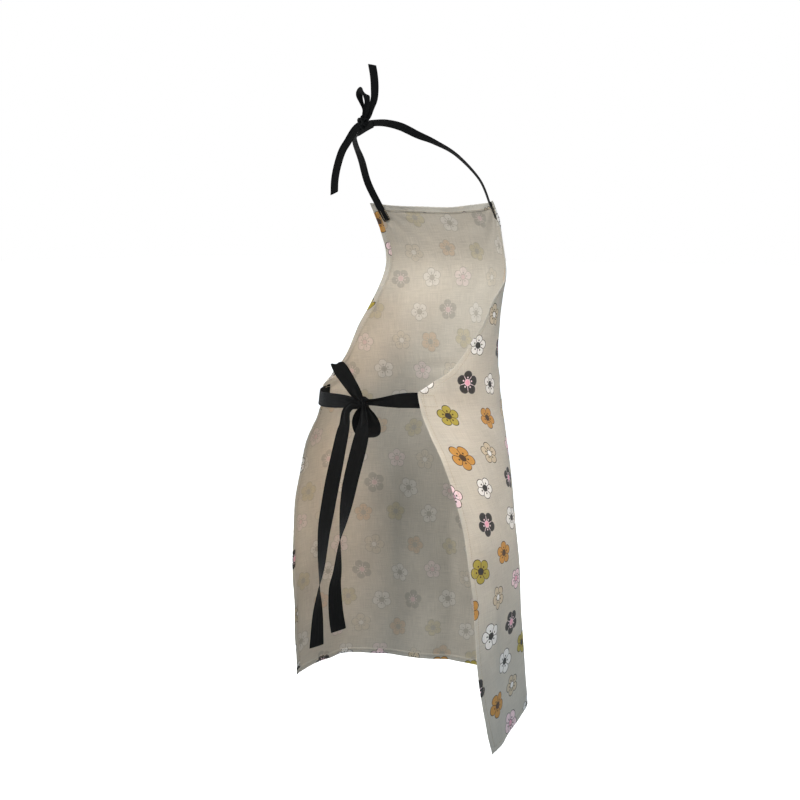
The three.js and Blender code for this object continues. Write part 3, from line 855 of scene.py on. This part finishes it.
def strip(rows, width, steps, pleats=3, cup=0.0, sway=0.0, bias=0.0, skew=0.0):
    """A tape along a table of x, y, z, turn and lift of its width, and width where it is drawn together."""
    share = np.linspace(0, 1, steps + 1)
    value, slope = through(rows, share)
    along = unit(slope[:, :3])
    turn, lift, drawn = np.radians(value[:, 3]), np.radians(value[:, 4]), value[:, 5:6]
    beside = np.stack([np.cos(turn) * np.cos(lift), np.sin(turn) * np.cos(lift), np.sin(lift)], -1)
    beside = unit(beside - along * np.sum(beside * along, axis=1, keepdims=True))
    facing = np.cross(beside, along)
    c = np.linspace(-1, 1, TAPE_COLUMNS)[None]
    spare = np.clip((width / drawn) ** 2 - PLEAT_SLACK, 0, PLEAT_MOST)
    pleat = np.minimum(drawn / (math.pi * pleats) * np.sqrt(2 * spare), PLEAT_TALLEST)
    run = np.concatenate([[0], np.cumsum(np.linalg.norm(np.diff(value[:, :3], axis=0), axis=1))])[:, None]
    wave = pleat * np.sin(math.pi * pleats * c / 2 + PLEAT_START + PLEAT_DRIFT * run)
    wave = wave + cup * (c**2 - CUP_LEVEL) + sway * np.sin(run / SWAY_RUN + SWAY_LEAN * c)
    longer = bias * c * ease(run[-1] - width, run[-1], run)
    spot = value[:, None, :3] + beside[:, None] * (c * drawn / 2)[..., None]
    spot = spot + facing[:, None] * wave[..., None]
    spot = spot + along[:, None] * longer[..., None]
    reach = np.linalg.norm(value[:, :3] - value[0, :3], axis=1)
    tip = np.argmax(reach)
    near_tip = bell(share - share[tip], FOLD_SPREAD)[:, None]
    spot = spot + (value[tip, :3] - value[0, :3]) / reach[tip] * (skew * c * near_tip)[..., None]
    normal = unit(np.cross(np.gradient(spot, axis=1), np.gradient(spot, axis=0)))
    selvedge = SELVEDGE_RISE * bell(np.abs(c) - SELVEDGE_AT, SELVEDGE_SPREAD)
    wall = TAPE_WALL * (0.5 + selvedge - RIM_THINNER * (np.abs(c) > RIM_FROM))
    wall = np.broadcast_to(wall, wave.shape)[..., None]
    uv = np.stack([np.broadcast_to(c * width / 2, wave.shape), run + longer], -1)
    sheet = two_faced(spot + normal * wall, spot - normal * wall, TAPE_RIM, uv)
    sheet["finish"][:] = 0
    return sheet, float(run[-1, 0])


TWILL = 0.0011
TWILL_TURN = 0.0025
FUZZ_FINE = 1500
FUZZ_LONG = 60
FUZZ_HEIGHT = 0.8
tape_finish, tree, shader, flat = new_finish("black cotton tape", "tape_run")
place = put(tree, "ShaderNodeSeparateXYZ", {0: flat}).outputs
fold_back = calc(tree, "PINGPONG", place[0], TWILL_TURN)
diagonal = calc(tree, "MULTIPLY", calc(tree, "ADD", place[1], fold_back), 2 * math.pi / TWILL)
rib = calc(tree, "SINE", diagonal)
fuzz = streaks(tree, flat, FUZZ_FINE, FUZZ_LONG)
# Painted shade: the black is darker in the troughs of the twill ribs and lighter on their tops.
body = blend(tree, band(tree, rib, -1.0, 0.6), dye(2, 3, 4), dye(9, 10, 11))
dusty = band(tree, mottle(tree, flat, 90.0, 4.0), 0.52, 0.8, 0.0, 0.5)
tape_height = calc(tree, "MULTIPLY_ADD", fuzz, FUZZ_HEIGHT, rib)
tree.links.new(blend(tree, dusty, body, dye(16, 17, 18)), shader["Base Color"])
tree.links.new(band(tree, fuzz, 0.2, 0.8, 0.72, 0.94), shader["Roughness"])
tree.links.new(raised(tree, tape_height, 0.45, 0.0002), shader["Normal"])
shader["Specular IOR Level"].default_value = 0.12
shader["Sheen Weight"].default_value = 0.015
shader["Sheen Roughness"].default_value = 0.5


def tape(node, rows, width, steps, held, rests_on, **shape):
    """A tape in its place, in the place of the node of the same name."""
    sheet, length = strip(rows, width, steps, **shape)
    piece = lay_mesh(node + "_cotton", [sheet], [tape_finish], "tape_run")
    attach(piece, "root")
    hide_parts(node)


def neck_ends(side):
    """The rows of a neck tape that are sewn to its corner of the bib, + on the wearer's left."""
    return [
        sewn(side * (NECK_SHIFT + aside), BIB_TOP - below, inset, NECK_TAPE)
        for aside, below, inset in NECK_SEWN
    ]


neck_right = neck_ends(-1) + [
    # x, y, z, turn, lift, width
    (-95, -47, -78, -42, 0, 10),
    (-79, -14, -47, -35, -8, 10),
    (-62, 14, -31, -38, -30, 10),
    (-47, 32, -22, -45, -60, 10),
    (-31, 47, -12, -50, -80, 10),
    (-14, 56, -7, -60, -85, 9),
    (2, 60, -6, -70, -85, 8),
    (18, 60, -7, -80, -85, 9),
]
neck_left = neck_ends(1) + [
    # x, y, z, turn, lift, width
    (94, -47, -78, 42, 0, 10),
    (81, -14, -47, 35, 8, 10),
    (68, 16, -29, 38, 30, 10),
    (56, 34, -19, 45, 60, 10),
    (43, 48, -16, 50, 75, 10),
    (31, 57, -15.5, 60, 85, 10),
    (18, 60.5, -11.5, 70, 85, 9.5),
    (5, 61, -7.5, 80, 85, 8),
]
tape("neck_tape_right", neck_right, NECK_TAPE, 120, "stretched", ["apron_body", "neck_knot"], cup=0.3)
tape("neck_tape_left", neck_left, NECK_TAPE, 120, "stretched", ["apron_body", "neck_knot"], cup=0.3)

# The half bow at the nape: the same narrow tape, one loop and two free ends, drawn tight in a knot of
# wrapped tape. The short end stands up and the long end hangs down the back.
WRAP_STEPS = 14
WRAP_START = -190
WRAP_TURN = 380
WRAP_GROWTH = 0.05
WRAP_NARROWING = 0.1
WRAP_FULLNESS = 1.5
WRAP_CUP = -1.2
WRAP_ROWS = 64
neck_loop = [
    # x, y, z, turn, lift, width
    (23, 58, -2, 50, 0, 4),
    (23, 57, 12, 70, 0, 5),
    (27, 57, 22, 72, 2, 7),
    (29.5, 58, 31, 45, 15, 8.5),
    (26.5, 60, 36.5, 35, 75, 10),
    (19, 62, 34, 35, 50, 10),
    (13.5, 64, 29, 38, 30, 9),
    (11.5, 65, 21, 55, 8, 7.5),
    (13, 65, 13, 45, 2, 7.5),
    (16, 64, 7, 40, 0, 7),
    (21, 61, -2, 40, 0, 5),
]
neck_up = [
    # x, y, z, turn, lift, width
    (18, 59, -1, 35, 10, 5),
    (15.5, 57, 4, 35, 10, 7),
    (11.5, 57, 13, 35, 12, 8),
    (6, 57, 25, 35, 4, 9),
    (5, 57, 39, 35, 0, 10),
    (6, 57, 54, 35, -10, 10),
    (9, 57, 69, 35, -6, 10),
]
neck_down = [
    # x, y, z, turn, lift, width
    (25, 61, -6, 25, 60, 6),
    (29, 62, -9, 25, 54, 9),
    (36, 63, -16, 25, 42, 10),
    (43, 66, -28, 25, 32, 10),
    (50, 70, -41, 25, 20, 10),
    (55, 74, -60, 25, 10, 10),
    (55, 80, -79, 25, 2, 10),
    (53, 84, -97, 25, -6, 10),
]


def knot(node, centre, half, wraps):
    """Bands of tape drawn round a knot. Each wrap gives the slant of its turn, its spread and its width."""
    bands = []
    for lean, spread, width in wraps:
        rows = []
        for k in range(WRAP_STEPS + 1):
            angle = math.radians(WRAP_START + WRAP_TURN * k / WRAP_STEPS)
            grow = spread + WRAP_GROWTH * k / WRAP_STEPS
            side = math.sin(angle) * half[2] * grow
            x = centre[0] - math.sin(math.radians(lean)) * side
            y = centre[1] + math.cos(angle) * half[1] * grow
            z = centre[2] + math.cos(math.radians(lean)) * side
            drawn = width * (1 - WRAP_NARROWING + WRAP_NARROWING * math.cos(angle))
            rows.append((x, y, z, 0, lean, drawn))
        bands.append(strip(rows, width * WRAP_FULLNESS, WRAP_ROWS, pleats=3, cup=WRAP_CUP)[0])
    piece = lay_mesh(node + "_cotton", bands, [tape_finish], "tape_run")
    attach(piece, "root")
    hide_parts(node)


tape("neck_bow_loop", neck_loop, NECK_TAPE, 90, "folded", ["neck_knot"])
tape("neck_tail_up", neck_up, NECK_TAPE, 80, "hung", ["neck_knot"], cup=0.5, bias=1.8)
tape("neck_tail_down", neck_down, NECK_TAPE, 90, "hung", ["neck_knot"], cup=0.5, bias=2.4)
knot("neck_knot", (22, 60, -4), (7, 6, 7.5), [(35, 0.8, 8), (-30, 0.9, 8), (80, 0.7, 9)])

# The waist tapes: wide black cotton tapes sewn inside the waist corners of the cloth. They go round to the
# small of the back, drawn narrow where they enter the knot.
WAIST_TAPE = 20
SLOPE_REACH = 8
WAIST_SEWN = [
    # in from the edge, inside the outer face
    (20, 1.4),
    (11, 1.7),
    (4, 2.6),
]


def waist_at(angle, level):
    """Point of the plan at an angle from centre front and a level."""
    return np.array(plan_point(read(WORN_PLAN, level), math.radians(angle)), float)


def on_waist(angle, level, inset, width):
    """Path row on the waist at an angle from centre front, the tape lying along the slope of the back."""
    x, y = waist_at(angle, level)
    ahead = waist_at(angle + 1, level) - waist_at(angle - 1, level)
    out = np.array([ahead[1], -ahead[0]]) / np.linalg.norm(ahead)
    spread = waist_at(angle, level - SLOPE_REACH) - waist_at(angle, level + SLOPE_REACH)
    slope = math.atan2(float(spread @ out), 2 * SLOPE_REACH)
    turn = math.degrees(math.atan2(out[1], out[0]))
    return (x - inset * out[0], y - inset * out[1], level, turn, 90 + math.degrees(slope), width)


def waist_ends(side):
    """The rows of a waist tape that are sewn to its corner of the cloth, + on the wearer's left."""
    return [
        sewn(side * (tie_half - into), TIE_ROW, inset, WAIST_TAPE, level=True)
        for into, inset in WAIST_SEWN
    ]


waist_right = waist_ends(-1) + [
    # angle, level, inset, width
    on_waist(-147, -367, 2.6, 20),
    on_waist(-155, -368, 0.5, 18),
    on_waist(-163, -370, -1.5, 13),
    on_waist(-169, -371, -4, 9),
    (-14, 109, -371.5, 90, 90, 8),
]
waist_left = waist_ends(1) + [
    # angle, level, inset, width
    on_waist(106, -383, 4.2, 20),
    on_waist(118, -382, 6, 20),
    on_waist(132, -381, 4.5, 20),
    on_waist(147, -379, 2, 20),
    on_waist(162, -376, 0, 19),
    on_waist(173, -374, -2, 16),
    on_waist(180, -372.5, -4, 11),
    (-14, 109, -371.5, 90, 90, 8),
]
tape("waist_tape_right", waist_right, WAIST_TAPE, 110, "stretched", ["apron_body", "waist_knot"])
tape("waist_tape_left", waist_left, WAIST_TAPE, 130, "stretched", ["apron_body", "waist_knot"])

# The bow at the back: the same wide tape in two loops of unlike size and two long tails, each with a half
# twist, all drawn into one small wrapped knot.
loop_upper = [
    # x, y, z, turn, lift, width
    (-14, 109, -371, 205, 33, 6),
    (-5, 112, -363, 208, 33, 12),
    (8, 112, -346, 210, 33, 17),
    (19.5, 113, -331, 210, 33, 18),
    (26, 115, -321.5, 210, 33, 16),
    (17.5, 118, -331, 210, 33, 18),
    (5, 118, -344, 208, 33, 18),
    (-6, 117, -358, 208, 33, 15),
    (-12, 114, -367, 205, 33, 9),
    (-13, 110, -368, 205, 33, 5),
]
loop_lower = [
    # x, y, z, turn, lift, width
    (-14, 107, -372, 70, 0, 5),
    (-18, 108, -380, 68, -8, 7.5),
    (-26.5, 112, -389, 46, -14, 14),
    (-33.5, 115, -399.5, 42, -8, 18),
    (-34, 116, -410, 48, 0, 18),
    (-22, 114, -417.5, 62, 0, 17),
    (-8, 110, -412, 60, 5, 15),
    (-1, 107, -400, 50, 5, 14),
    (-3, 106, -388, 55, 5, 11),
    (-9.5, 106, -379, 70, 5, 7),
    (-13, 107, -373, 75, 10, 5),
]
tail_left = [
    # x, y, z, turn, lift, width
    (-12, 111, -375, -10, 60, 5),
    (-7, 114, -377, -10, 58, 7),
    (1, 117, -377, -10, 45, 11),
    (8, 118, -383, -10, 20, 14),
    (9, 120, -390, -5, 6, 15),
    (9, 122, -402, 0, 0, 17),
    (10, 127, -418, 8, 0, 19),
    (14, 142, -475, 20, 0, 20),
    (15, 152, -511, 15, 0, 20),
    (16, 160, -545, 0, 0, 20),
    (17, 165, -592, -30, 0, 20),
    (20, 167, -622, -60, 0, 20),
    (22, 167, -652, -90, 0, 20),
    (25, 167, -702, -120, 0, 20),
]
tail_right = [
    # x, y, z, turn, lift, width
    (-15, 112, -373, -15, 0, 6),
    (-18, 116, -381, -15, 0, 9),
    (-24, 124, -390, -5, 0, 13),
    (-27, 130, -405, 12, 0, 18),
    (-24, 134, -427, 25, 0, 20),
    (-17, 142, -468, 22, 0, 20),
    (-15, 150, -500, 2, 0, 20),
    (-14, 156, -524, -25, 0, 20),
    (-12, 161, -550, -55, 0, 20),
    (-11, 165, -588, -86, 0, 20),
    (-8, 167, -612, -103, 0, 20),
    (-9, 167, -645, -122, 0, 20),
    (-13, 167, -671, -140, 0, 20),
]
tape("waist_bow_loop_upper", loop_upper, WAIST_TAPE, 110, "folded", ["waist_knot"], skew=-3)
tape("waist_bow_loop_lower", loop_lower, WAIST_TAPE, 120, "folded", ["waist_knot"])
tape("waist_tail_left", tail_left, WAIST_TAPE, 200, "hung", ["waist_knot"], cup=0.5, sway=0.15, bias=-1.8)
tape("waist_tail_right", tail_right, WAIST_TAPE, 200, "hung", ["waist_knot"], cup=0.5, sway=0.15, bias=-1.8)
knot("waist_knot", (-14, 109, -371.5), (5.5, 6, 6), [(20, 0.8, 9), (-35, 0.95, 8), (75, 0.7, 9)])

# The studio: a plain pale floor at the height of the feet that runs out into white, soft daylight from
# above, a key and a small warm light on the waist from the right of the view, a warm fill from its left and
# a soft light on the front.
FLOOR_LEVEL = -1.40
FLOOR_REACH = 40
FLOOR_NEAR = 0.3
FLOOR_FAR = 2.4
GLOW_NEAR = 0.30
GLOW_FAR = 0.75
SKY_LOW = -0.5
SKY_HIGH = 0.7
DAYLIGHT_LOW = 0.15
DAYLIGHT_HIGH = 0.62
WHITE = (1, 1, 1, 1)
corners = [(-1, -1), (1, -1), (1, 1), (-1, 1)]
ground = bpy.data.meshes.new("floor")
floor_points = [(x * FLOOR_REACH, y * FLOOR_REACH, FLOOR_LEVEL) for x, y in corners]
ground.from_pydata(floor_points, [], [(0, 1, 2, 3)])
pale = bpy.data.materials.new("pale floor")
pale.use_nodes = True
tree = pale.node_tree
shader = tree.nodes["Principled BSDF"]
spot = put(tree, "ShaderNodeNewGeometry").outputs["Position"]
level_spot = put(tree, "ShaderNodeVectorMath", {0: spot, 1: (1, 1, 0)}, operation="MULTIPLY").outputs[0]
far = put(tree, "ShaderNodeVectorMath", {0: level_spot}, operation="LENGTH").outputs["Value"]
glow = band(tree, far, FLOOR_NEAR, FLOOR_FAR, GLOW_NEAR, GLOW_FAR)
tree.links.new(glow, shader.inputs["Emission Strength"])
shader.inputs["Emission Color"].default_value = WHITE
shader.inputs["Base Color"].default_value = (0.86, 0.86, 0.86, 1)
shader.inputs["Roughness"].default_value = 0.9
ground.materials.append(pale)
floor = bpy.data.objects.new("floor", ground)
floor.visible_diffuse = False
bpy.context.collection.objects.link(floor)

daylight = bpy.data.worlds.new("daylight")
daylight.use_nodes = True
tree = daylight.node_tree
sky = put(tree, "ShaderNodeTexCoord").outputs["Generated"]
rise = put(tree, "ShaderNodeSeparateXYZ", {0: sky}).outputs[2]
soft = band(tree, rise, SKY_LOW, SKY_HIGH, DAYLIGHT_LOW, DAYLIGHT_HIGH)
seen = put(tree, "ShaderNodeLightPath").outputs["Is Camera Ray"]
tree.links.new(calc(tree, "MAXIMUM", soft, seen), tree.nodes["Background"].inputs["Strength"])
tint = blend(tree, seen, (0.80, 0.92, 1.0, 1), WHITE)
tree.links.new(tint, tree.nodes["Background"].inputs["Color"])
bpy.context.scene.world = daylight
bpy.context.scene.view_settings.view_transform = "Standard"

LIGHTS = [
    # name, place, point lit, size, spread, watts, colour
    ("key", (-1.0, 1.05, 0.80), (0, 0, -0.4), 0.5, 180, 13, (1.0, 0.98, 0.95)),
    ("waist", (-1.15, 0.70, -0.20), (-0.12, 0.06, -0.42), 0.35, 28, 0.28, (1.0, 0.76, 0.52)),
    ("fill", (1.7, 1.6, 0.3), (0, 0, -0.4), 1.2, 180, 40, (1.0, 0.95, 0.88)),
    ("front", (1.9, -1.6, 0.7), (0, 0, -0.4), 0.9, 180, 56, (1.0, 0.98, 0.95)),
]
for name, place, lit, size, spread, watts, colour in LIGHTS:
    lamp = bpy.data.lights.new(name, "AREA")
    lamp.size = size
    lamp.spread = math.radians(spread)
    lamp.energy = watts
    lamp.color = colour
    light = bpy.data.objects.new(name, lamp)
    light.location = place
    away = np.subtract(place, lit)
    dip = math.atan2(math.hypot(away[0], away[1]), away[2])
    light.rotation_euler = (dip, 0, math.atan2(away[0], -away[1]))
    bpy.context.collection.objects.link(light)
